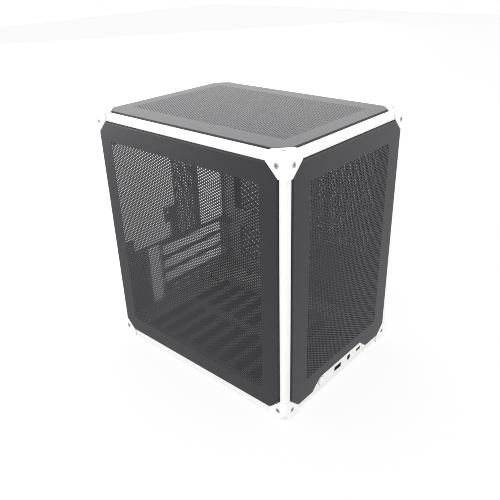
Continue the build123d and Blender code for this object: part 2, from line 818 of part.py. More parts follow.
tray_seats = [-station.offset(tray_depth + sheet) for station in tray_screw_places]
with BuildPart() as tray_screws:
    with Locations(*[seat.location for seat in tray_seats]):
        add(tray_screw)
write(tray_screws.part, "tray_screws")

with BuildPart() as standoffs:
    with BuildSketch(tray_plane):
        with Locations(*standoff_places):
            RegularPolygon(standoff_flats / 2, 6, major_radius=False)
            Circle(standoff_bore, mode=Mode.SUBTRACT)
    extrude(amount=-standoff_height)
write(standoffs.part, "board_standoffs")

# Small board behind the front ports, hung over them and screwed to the upstand's lugs
board_plane = Plane.XY.offset(port_board_z)
with BuildPart() as port_board:
    with BuildSketch(board_plane):
        with Locations((0, port_board_front - case_depth / 2)):
            Rectangle(
                2 * port_board_half,
                port_board_rear - port_board_front,
                align=(Align.CENTER, Align.MIN),
            )
        with Locations((button_x, -case_depth / 2)):
            Rectangle(
                port_board_notch[0],
                port_board_notch[1],
                align=(Align.CENTER, Align.MIN),
                mode=Mode.SUBTRACT,
            )
        for x in (-lug_x, lug_x):
            with Locations((x, port_screw_depth - case_depth / 2)):
                Circle(port_screw_radius + hole_gap, mode=Mode.SUBTRACT)
    extrude(amount=port_board_wall)
write(port_board.part, "port_board")

with BuildPart() as port_screws:
    for x in (-lug_x, lug_x):
        seat = Plane(
            origin=(x, port_screw_depth - case_depth / 2, port_board_z + port_board_wall),
            z_dir=(0, 0, 1),
        )
        with BuildSketch(seat):
            Circle(port_screw_head[0])
        extrude(amount=port_screw_head[1])
        with BuildSketch(seat):
            Circle(port_screw_radius)
        extrude(amount=-port_screw_length)
write(port_screws.part, "port_board_screws")

# Front USB-A port: a steel shell with a plastic tongue inside
port_front = set_back + port_recess
with BuildPart() as usb_a:
    with BuildSketch(front_face.offset(port_front)):
        with Locations((-usb_a_x, to_local_z + port_height)):
            Rectangle(usb_a_shell[0], usb_a_shell[1])
            Rectangle(
                usb_a_shell[0] - 2 * usb_a_wall,
                usb_a_shell[1] - 2 * usb_a_wall,
                mode=Mode.SUBTRACT,
            )
    extrude(amount=usb_a_shell[2])
    with BuildSketch(front_face.offset(port_front + usb_a_shell[2] - usb_a_wall)):
        with Locations((-usb_a_x, to_local_z + port_height)):
            Rectangle(usb_a_shell[0], usb_a_shell[1])
    extrude(amount=usb_a_wall)
write(usb_a.part, "usb_a_shell")

with BuildPart() as usb_a_insert:
    usb_a_base = usb_a_shell[2] - usb_a_wall - usb_a_tongue[2]
    with BuildSketch(front_face.offset(port_front + usb_a_tongue[2])):
        with Locations((-usb_a_x, to_local_z + port_height)):
            Rectangle(usb_a_shell[0] - 2 * usb_a_wall, usb_a_shell[1] - 2 * usb_a_wall)
    extrude(amount=usb_a_base)
    with BuildSketch(front_face.offset(port_front + port_recess)):
        with Locations((-usb_a_x, to_local_z + port_height + usb_a_tongue_drop)):
            Rectangle(usb_a_tongue[0], usb_a_tongue[1])
    extrude(amount=usb_a_tongue[2])
write(usb_a_insert.part, "usb_a_tongue")

# Front USB-C port: an oval shell under a foot that reaches the board
with BuildPart() as usb_c:
    with BuildSketch(front_face.offset(port_front)):
        with Locations((-usb_c_x, to_local_z + port_height)):
            SlotOverall(usb_c_shell[0], usb_c_shell[1])
    extrude(amount=usb_c_shell[2])
    with BuildSketch(front_face.offset(port_board_front)):
        with Locations((-usb_c_x, to_local_z + port_height)):
            Rectangle(
                usb_c_shell[0] - usb_c_shell[1],
                port_board_z - port_height,
                align=(Align.CENTER, Align.MIN),
            )
    extrude(amount=port_front + usb_c_shell[2] - port_board_front)
    with BuildSketch(front_face.offset(port_front)):
        with Locations((-usb_c_x, to_local_z + port_height)):
            SlotOverall(usb_c_shell[0] - 2 * usb_c_wall, usb_c_shell[1] - 2 * usb_c_wall)
    extrude(amount=usb_c_shell[2] - usb_c_wall, mode=Mode.SUBTRACT)
write(usb_c.part, "usb_c_shell")

with BuildPart() as usb_c_insert:
    usb_c_base = usb_c_shell[2] - usb_c_wall - usb_c_tongue[2]
    with BuildSketch(front_face.offset(port_front + usb_c_tongue[2])):
        with Locations((-usb_c_x, to_local_z + port_height)):
            SlotOverall(usb_c_shell[0] - 2 * usb_c_wall, usb_c_shell[1] - 2 * usb_c_wall)
    extrude(amount=usb_c_base)
    with BuildSketch(front_face.offset(port_front + port_recess)):
        with Locations((-usb_c_x, to_local_z + port_height)):
            Rectangle(usb_c_tongue[0], usb_c_tongue[1])
    extrude(amount=usb_c_tongue[2])
write(usb_c_insert.part, "usb_c_tongue")

# Front audio jack: a block under the board with a collar through the upstand
with BuildPart() as audio:
    with BuildSketch(front_face.offset(port_front)):
        with Locations((-audio_x, to_local_z + port_height)):
            Circle(audio_collar_radius)
    extrude(amount=port_board_front - port_front)
    with BuildSketch(front_face.offset(port_board_front)):
        with Locations((-audio_x, to_local_z + port_board_z)):
            Rectangle(
                audio_body[0],
                2 * (port_board_z - port_height),
                align=(Align.CENTER, Align.MAX),
            )
    extrude(amount=audio_body[1])
    with BuildSketch(front_face.offset(port_front)):
        with Locations((-audio_x, to_local_z + port_height)):
            Circle(audio_bore_radius)
    extrude(amount=audio_bore_depth, mode=Mode.SUBTRACT)
write(audio.part, "audio_jack")

# Power button: a white cap with a flange behind the upstand and a stem to the switch
button_centre = (-button_x, to_local_z + button_height)
flange_front = set_back + upstand_wall + button_flange_gap
with BuildPart() as button:
    with BuildSketch(front_face.offset(button_front)):
        with Locations(button_centre):
            Circle(button_radius)
    extrude(amount=flange_front - button_front)
    fillet(faces().sort_by(Axis.Y)[0].edges(), button_edge_radius)
    with BuildSketch(front_face.offset(flange_front)):
        with Locations(button_centre):
            Circle(button_flange_radius)
        with Locations((button_centre[0], to_local_z + button_flange_low)):
            Rectangle(
                2 * button_flange_radius,
                2 * button_flange_radius,
                align=(Align.CENTER, Align.MAX),
                mode=Mode.SUBTRACT,
            )
    extrude(amount=button_flange_wall)
    with BuildSketch(front_face.offset(flange_front)):
        with Locations(button_centre):
            Circle(button_stem_radius)
    extrude(amount=button_stem_end - flange_front)
write(button.part, "power_button")

with BuildPart() as switch:
    with BuildSketch(front_face.offset(switch_front)):
        with Locations((button_centre[0], to_local_z + port_board_z)):
            Rectangle(switch_body[0], switch_body[1], align=(Align.CENTER, Align.MAX))
    extrude(amount=switch_body[2])
    with BuildSketch(front_face.offset(switch_front)):
        with Locations((button_centre[0], to_local_z + port_board_z - switch_body[1] / 2)):
            Circle(switch_plunger_radius)
    extrude(amount=-switch_plunger)
write(switch.part, "power_switch")
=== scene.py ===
import math

import bmesh
import bpy
from mathutils import Matrix, Vector


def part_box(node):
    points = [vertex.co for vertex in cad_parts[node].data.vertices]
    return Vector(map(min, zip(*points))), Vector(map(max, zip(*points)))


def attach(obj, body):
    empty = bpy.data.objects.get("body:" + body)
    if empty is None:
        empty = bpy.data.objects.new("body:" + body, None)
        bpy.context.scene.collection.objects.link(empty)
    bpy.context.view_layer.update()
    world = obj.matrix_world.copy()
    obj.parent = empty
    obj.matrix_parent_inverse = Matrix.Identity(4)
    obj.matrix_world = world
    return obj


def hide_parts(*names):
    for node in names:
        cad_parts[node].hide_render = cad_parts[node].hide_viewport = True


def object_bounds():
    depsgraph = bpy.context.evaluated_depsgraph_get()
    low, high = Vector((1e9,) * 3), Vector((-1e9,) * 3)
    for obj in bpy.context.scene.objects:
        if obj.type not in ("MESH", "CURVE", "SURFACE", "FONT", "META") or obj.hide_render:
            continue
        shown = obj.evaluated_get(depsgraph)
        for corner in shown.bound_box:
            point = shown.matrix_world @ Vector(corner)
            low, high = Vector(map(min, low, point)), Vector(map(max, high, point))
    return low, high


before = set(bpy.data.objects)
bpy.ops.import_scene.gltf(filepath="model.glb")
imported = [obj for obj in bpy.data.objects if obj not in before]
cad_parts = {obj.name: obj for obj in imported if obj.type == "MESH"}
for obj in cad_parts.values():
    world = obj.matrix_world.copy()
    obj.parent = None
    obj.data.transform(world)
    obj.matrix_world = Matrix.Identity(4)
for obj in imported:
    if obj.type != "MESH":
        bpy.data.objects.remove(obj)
cad_box = [list(corner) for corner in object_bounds()]
mm = 0.001


# Frame profiles: twelve white aluminium extrusions, each a square tube with two ledges.
# They are sawn square, powder coated and pushed on to the spigots of the corner blocks.
def coated(name, colour, roughness, grain, grain_depth, specular=0.5):
    """Painted or moulded surface with a fine grain that follows the object's own coordinates."""
    material = bpy.data.materials.new(name)
    material.use_nodes = True
    nodes, links = material.node_tree.nodes, material.node_tree.links
    shader = nodes["Principled BSDF"]
    shader.inputs["Base Color"].default_value = (*colour, 1.0)
    shader.inputs["Roughness"].default_value = roughness
    shader.inputs["Specular IOR Level"].default_value = specular
    place = nodes.new("ShaderNodeTexCoord")
    noise = nodes.new("ShaderNodeTexNoise")
    noise.inputs["Scale"].default_value = grain
    noise.inputs["Detail"].default_value = 3.0
    bump = nodes.new("ShaderNodeBump")
    bump.inputs["Strength"].default_value = 0.25
    bump.inputs["Distance"].default_value = grain_depth
    links.new(place.outputs["Object"], noise.inputs["Vector"])
    links.new(noise.outputs["Fac"], bump.inputs["Height"])
    links.new(bump.outputs["Normal"], shader.inputs["Normal"])
    return material


def finish_node(node, material):
    """Give a node of the frame its finish."""
    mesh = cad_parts[node].data
    mesh.materials.clear()
    mesh.materials.append(material)


white_coat = coated("white_powder_coat", (0.86, 0.86, 0.85), 0.45, 1600, 0.03 * mm)
profile_names = [
    f"post_{depth}_{side}" for depth in ("front", "rear") for side in ("left", "right")
]
profile_names += [
    f"rail_{side}_{level}"
    for side in ("front", "rear", "left", "right")
    for level in ("bottom", "top")
]
for node in profile_names:
    finish_node(node, white_coat)


# Corner brackets: eight zinc castings coated white, which cap the ends of three profiles.
# The outer corner is turned off to a ball, and each face has a countersunk hole for a screw.
cap_reach = 22.9 * mm
cap_arm = 9.2 * mm
cap_wall = 1.7 * mm
ball_centre = Vector((23.3, 23.3, 23.3)) * mm
ball_radius = 35.0 * mm
screw_inset = 11.0 * mm
sink_radius = 2.9 * mm
sink_depth = 1.35 * mm
screw_hole_radius = 1.6 * mm
cast_edge = 0.35 * mm
merge_gap = 0.002 * mm
low_corner, high_corner = Vector(cad_box[0]), Vector(cad_box[1])


def new_object(name, bm):
    """Make a mesh object of a bmesh, which is then freed."""
    mesh = bpy.data.meshes.new(name)
    bm.to_mesh(mesh)
    bm.free()
    obj = bpy.data.objects.new(name, mesh)
    bpy.context.scene.collection.objects.link(obj)
    return obj


def cut(obj, tool, operation):
    """Apply a boolean of a tool that is then removed."""
    step = obj.modifiers.new("cut", "BOOLEAN")
    step.object = tool
    step.operation = operation
    step.solver = "EXACT"
    bpy.context.view_layer.update()
    shaped = obj.evaluated_get(bpy.context.evaluated_depsgraph_get())
    mesh = bpy.data.meshes.new_from_object(shaped)
    obj.modifiers.clear()
    obj.data = mesh
    bpy.data.objects.remove(tool)


def cube_from(low, high):
    """A box between two distances from the corner along all three axes."""
    bm = bmesh.new()
    bmesh.ops.create_cube(bm, size=high - low)
    bmesh.ops.translate(bm, vec=Vector((1, 1, 1)) * (low + high) / 2, verts=bm.verts)
    return bm


def ball(name, radius):
    """The ball that rounds off the corner of a bracket."""
    bm = bmesh.new()
    bmesh.ops.create_uvsphere(bm, u_segments=96, v_segments=48, radius=radius)
    bmesh.ops.translate(bm, vec=ball_centre, verts=bm.verts)
    return new_object(name, bm)


cap_blank = cube_from(0.0, cap_reach)
for direction in (Vector((1, 1, 0)), Vector((0, 1, 1)), Vector((1, 0, 1))):
    half = bmesh.ops.bisect_plane(
        cap_blank,
        geom=cap_blank.verts[:] + cap_blank.edges[:] + cap_blank.faces[:],
        plane_co=direction * (cap_reach + cap_arm) / 2,
        plane_no=direction,
        clear_outer=True,
    )
    rim = [g for g in half["geom_cut"] if isinstance(g, bmesh.types.BMEdge)]
    bmesh.ops.edgeloop_fill(cap_blank, edges=rim)
cap = new_object("cap_master", cap_blank)
cut(cap, ball("cap_ball", ball_radius), "INTERSECT")
hollow = new_object("cap_hollow", cube_from(cap_wall, 2 * cap_reach))
cut(hollow, ball("hollow_ball", ball_radius - cap_wall), "INTERSECT")
cut(cap, hollow, "DIFFERENCE")
# Turns that take a hole in the face towards -Z to each of the three outer faces.
face_turns = (
    Matrix.Identity(4),
    Matrix(((0, 0, 1, 0), (1, 0, 0, 0), (0, 1, 0, 0), (0, 0, 0, 1))),
    Matrix(((0, 1, 0, 0), (0, 0, 1, 0), (1, 0, 0, 0), (0, 0, 0, 1))),
)
for turn in face_turns:
    bm = bmesh.new()
    bmesh.ops.create_cone(
        bm,
        cap_ends=True,
        segments=40,
        radius1=sink_radius,
        radius2=screw_hole_radius,
        depth=sink_depth,
    )
    bmesh.ops.translate(bm, vec=(screw_inset, screw_inset, sink_depth / 2), verts=bm.verts)
    bmesh.ops.transform(bm, matrix=turn, verts=bm.verts)
    cut(cap, new_object("countersink", bm), "DIFFERENCE")
    bm = bmesh.new()
    bmesh.ops.create_cone(
        bm,
        cap_ends=True,
        segments=40,
        radius1=screw_hole_radius,
        radius2=screw_hole_radius,
        depth=4 * cap_wall,
    )
    bmesh.ops.translate(bm, vec=(screw_inset, screw_inset, 0), verts=bm.verts)
    bmesh.ops.transform(bm, matrix=turn, verts=bm.verts)
    cut(cap, new_object("screw_hole", bm), "DIFFERENCE")

cast_white = coated("white_cast_coat", (0.88, 0.88, 0.88), 0.42, 1100, 0.05 * mm)
corner_signs = [(x, y, z) for x in (-1, 1) for y in (-1, 1) for z in (-1, 1)]
corner_words = ({-1: "left", 1: "right"}, {-1: "front", 1: "rear"}, {-1: "bottom", 1: "top"})


def corner_matrix(signs):
    """Move that takes a shape with its arms along +X +Y +Z to one corner of the case."""
    place = [high_corner[k] if signs[k] > 0 else low_corner[k] for k in range(3)]
    inward = Matrix.Diagonal([-s for s in signs] + [1])
    return Matrix.Translation(place) @ inward


for signs in corner_signs:
    bm = bmesh.new()
    bm.from_mesh(cap.data)
    bmesh.ops.remove_doubles(bm, verts=bm.verts, dist=merge_gap)
    bmesh.ops.transform(bm, matrix=corner_matrix(signs), verts=bm.verts)
    bmesh.ops.recalc_face_normals(bm, faces=bm.faces)
    for face in bm.faces:
        face.smooth = True
    where = f"{corner_words[1][signs[1]]}_{corner_words[0][signs[0]]}_{corner_words[2][signs[2]]}"
    shell = new_object(f"corner_cap_{where}", bm)
    shell.data.set_sharp_from_angle(angle=math.radians(30))
    soften = shell.modifiers.new("cast edge", "BEVEL")
    soften.width = cast_edge
    soften.segments = 2
    soften.limit_method = "ANGLE"
    soften.angle_limit = math.radians(35)
    shell.data.materials.append(cast_white)
    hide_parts(f"bracket_{where}")
    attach(shell, "case")
bpy.data.objects.remove(cap)


# Inner corner blocks, hidden under the brackets: bare aluminium castings with a spigot for
# each profile and a tapped hole under each bracket screw.
cast_metal = bpy.data.materials.new("bare_casting")
cast_metal.use_nodes = True
cast_shader = cast_metal.node_tree.nodes["Principled BSDF"]
cast_shader.inputs["Base Color"].default_value = (0.62, 0.62, 0.63, 1.0)
cast_shader.inputs["Metallic"].default_value = 1.0
cast_shader.inputs["Roughness"].default_value = 0.5
finish_node("corner_blocks", cast_metal)


# Bracket screws: bright countersunk socket screws, three in each corner, with the dark
# hexagonal socket that catches the eye on the white brackets.
def bright(name, colour, roughness):
    """Bare metal whose shine is broken by a fine, uneven grain."""
    material = bpy.data.materials.new(name)
    material.use_nodes = True
    nodes, links = material.node_tree.nodes, material.node_tree.links
    shader = nodes["Principled BSDF"]
    shader.inputs["Base Color"].default_value = (*colour, 1.0)
    shader.inputs["Metallic"].default_value = 1.0
    place = nodes.new("ShaderNodeTexCoord")
    noise = nodes.new("ShaderNodeTexNoise")
    noise.inputs["Scale"].default_value = 700.0
    spread = nodes.new("ShaderNodeMapRange")
    spread.inputs["To Min"].default_value = roughness * 0.8
    spread.inputs["To Max"].default_value = roughness * 1.2
    links.new(place.outputs["Object"], noise.inputs["Vector"])
    links.new(noise.outputs["Fac"], spread.inputs["Value"])
    links.new(spread.outputs["Result"], shader.inputs["Roughness"])
    return material


screw_metal = bright("screw_steel", (0.42, 0.41, 0.40), 0.35)
finish_node("bracket_screws", screw_metal)


# Floor, board tray and slot cover: flat steel, laser cut and powder coated; their mid grey is
# partly the coat's dark tone and partly painted light for the light and sheen that reach them
# through the mesh.
# They lie on the ledges of the profiles and are held by black pan-head screws.
inner_coat_with_painted_light = coated("grey_inner_painted_light_coat", (0.34, 0.34, 0.345), 0.5, 1500, 0.04 * mm, 0.4)
for node in ("floor_plate", "motherboard_tray", "slot_cover"):
    finish_node(node, inner_coat_with_painted_light)
black_zinc = coated("black_screw_finish", (0.03, 0.03, 0.03), 0.35, 900, 0.02 * mm)
for node in ("rear_screws", "floor_screws", "tray_screws", "port_board_screws"):
    finish_node(node, black_zinc)
finish_node("slot_cover_screws", screw_metal)


# Board standoffs: nine turned hexagons with a black finish on the tray, and plain steel
# spacers behind the tray's own screws.
finish_node("board_standoffs", black_zinc)
finish_node("tray_spacers", screw_metal)


# Snap clips and studs: black nylon clips pressed into the ledges take the ball of a bright
# steel stud that is riveted to the inside of each removable panel.
nylon = coated("black_nylon", (0.025, 0.025, 0.026), 0.55, 800, 0.03 * mm)
finish_node("snap_clips", nylon)
for side in ("left", "right", "front", "top"):
    finish_node(f"{side}_panel_studs", screw_metal)


# Small board behind the front ports, with the switch and the connectors that hang from it:
# a green-black laminate, steel shells darkened near black with painted shade, for the shade inside
# the port openings, and black moulded tongues.
laminate = coated("board_laminate", (0.012, 0.03, 0.018), 0.4, 500, 0.01 * mm)
finish_node("port_board", laminate)
port_shell_painted_shade = bright("port_shell_painted_shade_metal", (0.10, 0.10, 0.105), 0.4)
finish_node("usb_a_shell", port_shell_painted_shade)
finish_node("usb_c_shell", port_shell_painted_shade)
for node in ("usb_a_tongue", "usb_c_tongue", "audio_jack", "power_switch"):
    finish_node(node, nylon)


# Power button: a white moulded disc with a rounded edge that stands just proud of the
# upstand, with a flange behind it, flat at its foot, and a stem that presses the switch. Flange
# and stem are near black: painted shade for the gap round the disc.
button_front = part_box("power_button")[0].y
button_x, button_z = -37.8 * mm, 14.5 * mm
button_foot = 9.45 * mm
button_white_depth = 1.6 * mm
seam_gap = 0.005 * mm
button_profile = (
    (0.0, 0.0),
    (4.3, 0.0),
    (4.6, 0.07),
    (4.83, 0.28),
    (4.9, 0.6),
    (4.9, 1.7),
    (4.9, 3.6),
    (5.6, 3.6),
    (5.6, 4.4),
    (2.0, 4.4),
    (2.0, 6.0),
    (0.0, 6.0),
)
bm = bmesh.new()
points = [bm.verts.new((r * mm, d * mm, 0)) for r, d in button_profile]
outline = [bm.edges.new(pair) for pair in zip(points, points[1:])]
bmesh.ops.spin(
    bm,
    geom=points + outline,
    axis=(0, 1, 0),
    cent=(0, 0, 0),
    angle=math.tau,
    steps=64,
    use_merge=True,
)
bmesh.ops.remove_doubles(bm, verts=bm.verts, dist=seam_gap)
bmesh.ops.translate(bm, vec=(button_x, button_front, button_z), verts=bm.verts)
lower = bmesh.ops.bisect_plane(
    bm,
    geom=bm.verts[:] + bm.edges[:] + bm.faces[:],
    plane_co=(0, 0, button_foot),
    plane_no=(0, 0, -1),
    clear_outer=True,
)
rim = [g for g in lower["geom_cut"] if isinstance(g, bmesh.types.BMEdge)]
bmesh.ops.holes_fill(bm, edges=rim, sides=0)
bmesh.ops.recalc_face_normals(bm, faces=bm.faces)
for face in bm.faces:
    face.smooth = True
button = new_object("power_button_cap", bm)
button.data.set_sharp_from_angle(angle=math.radians(35))
button.data.materials.append(coated("white_button", (0.88, 0.88, 0.88), 0.3, 600, 0.01 * mm))
button.data.materials.append(coated("button_flange_painted_shade", (0.03, 0.03, 0.03), 0.5, 600, 0.01 * mm))
# Faces behind the white front of the disc take the near black of painted shade.
for face in button.data.polygons:
    face.material_index = int(face.center.y > button_front + button_white_depth)
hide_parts("power_button")
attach(button, "button_body")


# Perforated panels: thin steel, punched with a fine staggered field of holes, folded at the
# edge and powder coated black. Their corners are cut for the brackets, and the front one has a
# notch over the port upstand.
reveal = 9.7 * mm
corner_cut = 13.2 * mm
sheet = 0.8 * mm
flange_depth = 2.4 * mm
fold_radius = 1.3 * mm
fold_steps = 4
hole_pitch = 3.1 * mm
notch_half_low, notch_half_high, notch_top = 55.5 * mm, 41.7 * mm, 21.7 * mm
half_w, half_d = high_corner.x, high_corner.y
half_h = (high_corner.z - low_corner.z) / 2
black_coat = coated("black_panel_coat", (0.012, 0.012, 0.0145), 0.38, 1800, 0.03 * mm, 0.4)
black_shader = black_coat.node_tree.nodes["Principled BSDF"]
black_shader.inputs["Specular Tint"].default_value = (0.94, 0.94, 1.0, 1.0)
# The walls of the holes and the sheet's cut edges get a slightly lighter black: painted light that
# stands in for the light they catch.
hole_wall_painted_light = coated("hole_wall_painted_light_coat", (0.02, 0.02, 0.0215), 0.45, 1800, 0.02 * mm, 0.4)

# Half width and half height of each face of the case that a panel covers.
panel_halves = {
    "left": (half_d, half_h),
    "right": (half_d, half_h),
    "front": (half_w, half_h),
    "top": (half_w, half_d),
}
# Size of each punched field in mm, and the place of its middle on the panel.
field_plan = {
    "left": ((215, 233), (-1.5, -0.5)),
    "right": ((215, 233), (1.5, -0.5)),
    "front": ((142, 226), (1.5, 2)),
    "top": ((143, 217), (2, 1.5)),
}
# Radius of the holes, and how far they are drawn out along the rows and across them.
even_hole, wide_hole = Vector((1, 1, 1)), Vector((1.35, 0.75, 1))
hole_plan = {
    "left": (1.08 * mm, wide_hole),
    "right": (1.08 * mm, wide_hole),
    "front": (1.08 * mm, even_hole),
    "top": (0.82 * mm, wide_hole),
}
# The way out of each face, the way up on it, and its middle.
face_plan = {
    "left": ((-1, 0, 0), (0, 0, 1), (-half_w, 0, half_h)),
    "right": ((1, 0, 0), (0, 0, 1), (half_w, 0, half_h)),
    "front": ((0, -1, 0), (0, 0, 1), (0, -half_d, half_h)),
    "top": ((0, 0, 1), (0, 1, 0), (0, 0, 2 * half_h)),
}


def punched_field(bm, width, height, pitch, radius, stretch):
    """A staggered field of six-sided holes about the origin; returns its outer edges."""
    step = pitch * math.sin(math.radians(60))
    columns, rows = round(width / step), round(height / pitch)
    bmesh.ops.create_grid(bm, x_segments=columns, y_segments=rows, size=0.5)
    size = (columns * step, rows * pitch, 1)
    bmesh.ops.scale(bm, vec=size, verts=bm.verts)
    column_of = {v: round(v.co.x / step + columns / 2) for v in bm.verts}
    for parity, shift in ((0, -pitch / 4), (1, pitch / 4)):
        verts = [v for v in bm.verts if column_of[v] % 2 == parity]
        bmesh.ops.translate(bm, vec=(0, shift, 0), verts=verts)
    bmesh.ops.triangulate(bm, faces=bm.faces[:], quad_method="SHORT_EDGE")
    centres = [v for v in bm.verts if not v.is_boundary]
    holes = bmesh.ops.bevel(
        bm,
        geom=centres,
        offset=radius,
        offset_type="OFFSET",
        segments=1,
        profile=0.5,
        affect="VERTICES",
        material=-1,
    )
    for hole in holes["faces"]:
        middle = hole.calc_center_median()
        for corner in hole.verts:
            corner.co = middle + (corner.co - middle) * stretch
    bmesh.ops.delete(bm, geom=holes["faces"], context="FACES_ONLY")
    edge_x = size[0] / 2 - 0.5 * step
    edge_y = size[1] / 2 - 0.3 * pitch
    return [
        e
        for e in bm.edges
        if e.is_boundary and all(abs(v.co.x) > edge_x or abs(v.co.y) > edge_y for v in e.verts)
    ]


def face_matrix(outward, up, origin):
    """A plane on one face of the case, +Z outwards and +Y up."""
    outward, up = Vector(outward), Vector(up)
    across = up.cross(outward)
    turn = Matrix((across, up, outward)).transposed().to_4x4()
    return Matrix.Translation(origin) @ turn


def panel_outline(side):
    """The corners of a panel in its own plane, clockwise from the lower left."""
    half_width, half_height = panel_halves[side]
    w, h, c = half_width - reveal, half_height - reveal, corner_cut
    outline = [(-w, -h + c), (-w, h - c), (-w + c, h), (w - c, h), (w, h - c), (w, -h + c)]
    outline.append((w - c, -h))
    if side == "front":
        top = notch_top - half_height
        outline.append((notch_half_low, -h))
        outline.append((notch_half_high, top))
        outline.append((-notch_half_high, top))
        outline.append((-notch_half_low, -h))
    outline.append((-w + c, -h))
    return outline


def panel_piece(side):
    """A folded panel in its own plane, +Z outwards, then moved to its face of the case."""
    bm = bmesh.new()
    (width, height), (middle_x, middle_y) = field_plan[side]
    hole_radius, stretch = hole_plan[side]
    if side == "top":
        inner = punched_field(bm, height * mm, width * mm, hole_pitch, hole_radius, stretch)
        turn = Matrix.Rotation(math.radians(90), 4, "Z")
        bmesh.ops.transform(bm, matrix=turn, verts=bm.verts)
    else:
        inner = punched_field(bm, width * mm, height * mm, hole_pitch, hole_radius, stretch)
    bmesh.ops.translate(bm, vec=(middle_x * mm, middle_y * mm, 0), verts=bm.verts)
    loop = [bm.verts.new((x, y, -flange_depth)) for x, y in panel_outline(side)]
    free_edge = bm.faces.new(loop)
    raised = bmesh.ops.extrude_face_region(bm, geom=[free_edge])["geom"]
    face = [g for g in raised if isinstance(g, bmesh.types.BMFace)][0]
    lift = flange_depth - fold_radius
    bmesh.ops.translate(bm, vec=(0, 0, lift), verts=face.verts)
    if free_edge.is_valid:
        bmesh.ops.delete(bm, geom=[free_edge], context="FACES_ONLY")
    for k in range(fold_steps):
        a, b = (math.radians(90) * (k + n) / fold_steps for n in (0, 1))
        inset = fold_radius * (math.cos(a) - math.cos(b))
        rise = fold_radius * (math.sin(b) - math.sin(a))
        bmesh.ops.inset_region(bm, faces=[face], thickness=inset, use_even_offset=True)
        bmesh.ops.translate(bm, vec=(0, 0, rise), verts=face.verts)
    border = list(face.edges)
    bmesh.ops.delete(bm, geom=[face], context="FACES_ONLY")
    bmesh.ops.triangle_fill(
        bm, edges=border + inner, use_beauty=True, use_dissolve=False, normal=(0, 0, 1)
    )
    bmesh.ops.recalc_face_normals(bm, faces=bm.faces)
    if sum(f.normal.z * f.calc_area() for f in bm.faces) < 0:
        bmesh.ops.reverse_faces(bm, faces=bm.faces)
    bmesh.ops.transform(bm, matrix=face_matrix(*face_plan[side]), verts=bm.verts)
    panel = new_object(f"{side}_panel_sheet", bm)
    wall = panel.modifiers.new("sheet", "SOLIDIFY")
    wall.thickness = sheet
    wall.offset = -1.0
    wall.use_even_offset = True
    # The rim faces, the walls of the holes and the cut edges, take the slightly lighter black of
    # painted light.
    wall.material_offset_rim = 1
    panel.data.materials.append(black_coat)
    panel.data.materials.append(hole_wall_painted_light)
    return panel


for side in ("left", "right", "front", "top"):
    piece = panel_piece(side)
    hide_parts(f"{side}_panel")
    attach(piece, f"{side}_panel_body")


# Rear wall: one laser-cut steel plate with the openings for the power supply, the ports and
# the cards. The strip between them is vented by a fine staggered field of holes.
vent_low, vent_high = Vector((1.0, 0, 97.5)) * mm, Vector((36.0, 0, 245.0)) * mm
vent_pitch = 5.0 * mm
vent_radius = 1.8 * mm
wall_low, wall_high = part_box("rear_wall")
wall_sheet = wall_high.y - wall_low.y

bm = bmesh.new()
bm.from_mesh(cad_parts["rear_wall"].data)
bmesh.ops.remove_doubles(bm, verts=bm.verts, dist=merge_gap)
rear_sheet = new_object("rear_wall_sheet", bm)
bm = bmesh.new()
bmesh.ops.create_cube(bm, size=1.0)
bmesh.ops.scale(bm, vec=vent_high - vent_low + Vector((0, 3 * wall_sheet, 0)), verts=bm.verts)
middle = (vent_low + vent_high) / 2 + Vector((0, (wall_low.y + wall_high.y) / 2, 0))
bmesh.ops.translate(bm, vec=middle, verts=bm.verts)
cut(rear_sheet, new_object("vent_window", bm), "DIFFERENCE")

bm = bmesh.new()
strip = vent_high - vent_low
field_height = strip.z - 2 * vent_pitch / 3
inner = punched_field(bm, strip.x, field_height, vent_pitch, vent_radius, even_hole)
strip_corners = [(-0.5, -0.5), (0.5, -0.5), (0.5, 0.5), (-0.5, 0.5)]
rim = [bm.verts.new((x * strip.x, y * strip.z, 0)) for x, y in strip_corners]
border = [bm.edges.new((rim[k], rim[(k + 1) % 4])) for k in range(4)]
bmesh.ops.triangle_fill(
    bm, edges=border + inner, use_beauty=True, use_dissolve=False, normal=(0, 0, 1)
)
bmesh.ops.recalc_face_normals(bm, faces=bm.faces)
bmesh.ops.solidify(bm, geom=bm.faces[:], thickness=wall_sheet)
bmesh.ops.transform(bm, matrix=Matrix.Rotation(math.radians(90), 4, "X"), verts=bm.verts)
depth = min(v.co.y for v in bm.verts)
bmesh.ops.translate(bm, vec=(middle.x, wall_low.y - depth, middle.z), verts=bm.verts)
bmesh.ops.recalc_face_normals(bm, faces=bm.faces)
bm.from_mesh(rear_sheet.data)
bm.to_mesh(rear_sheet.data)
bm.free()
# The rear wall takes the same grey, with its painted light, as the floor and tray.
rear_sheet.data.materials.clear()
rear_sheet.data.materials.append(inner_coat_with_painted_light)
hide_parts("rear_wall")
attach(rear_sheet, "case")


# Studio: a pale floor that runs to a white surround, with large soft lamps above,
# beside and behind. The surround shows white to the camera and in the gloss, and under the
# case the floor carries a painted shadow, a near-black colour where the floor plate's slots look
# down on it.
floor_half_side = 4.0
floor_drop = 0.5 * mm
# Painted shadow under the case: the floor's colour is near black out to the first share of the way
# to the side walls, and pale from the second.
painted_shadow_until, pale_from = 0.88, 0.98
paper_share = 0.9
pale_floor, painted_shadow_floor_colour = (0.92, 0.92, 0.92, 1.0), (0.008, 0.008, 0.008, 1.0)

